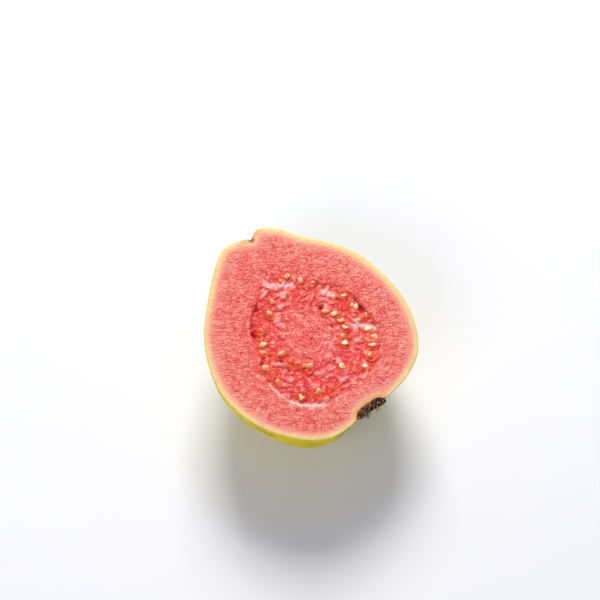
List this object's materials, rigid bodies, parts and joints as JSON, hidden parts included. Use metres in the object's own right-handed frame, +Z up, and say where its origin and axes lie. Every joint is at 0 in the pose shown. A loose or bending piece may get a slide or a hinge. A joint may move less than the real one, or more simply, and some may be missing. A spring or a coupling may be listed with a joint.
{
  "type": "guava half",
  "caption": "Half of a ripe pink guava lying on its rounded green back, cut face up, with an egg-shaped seed bed and a dried brown calyx at the blossom end.",
  "frame": {"origin": "on the table, under the middle of the fruit's length and width", "axes": "+X from the stem end to the blossom end, +Z up, square to the cut face"},
  "size_m": [0.085, 0.0769, 0.0385],
  "materials": {
    "flesh": "moist granular pink flesh inside a thin waxy yellow-green skin",
    "seeds": "hard cream seeds under a wet orange-red film of pulp",
    "dried_calyx": "dry, dull, wrinkled brown"
  },
  "bodies": {
    "root": {"guava_half": "flesh", "calyx": "dried_calyx"}
  },
  "joints": []
}
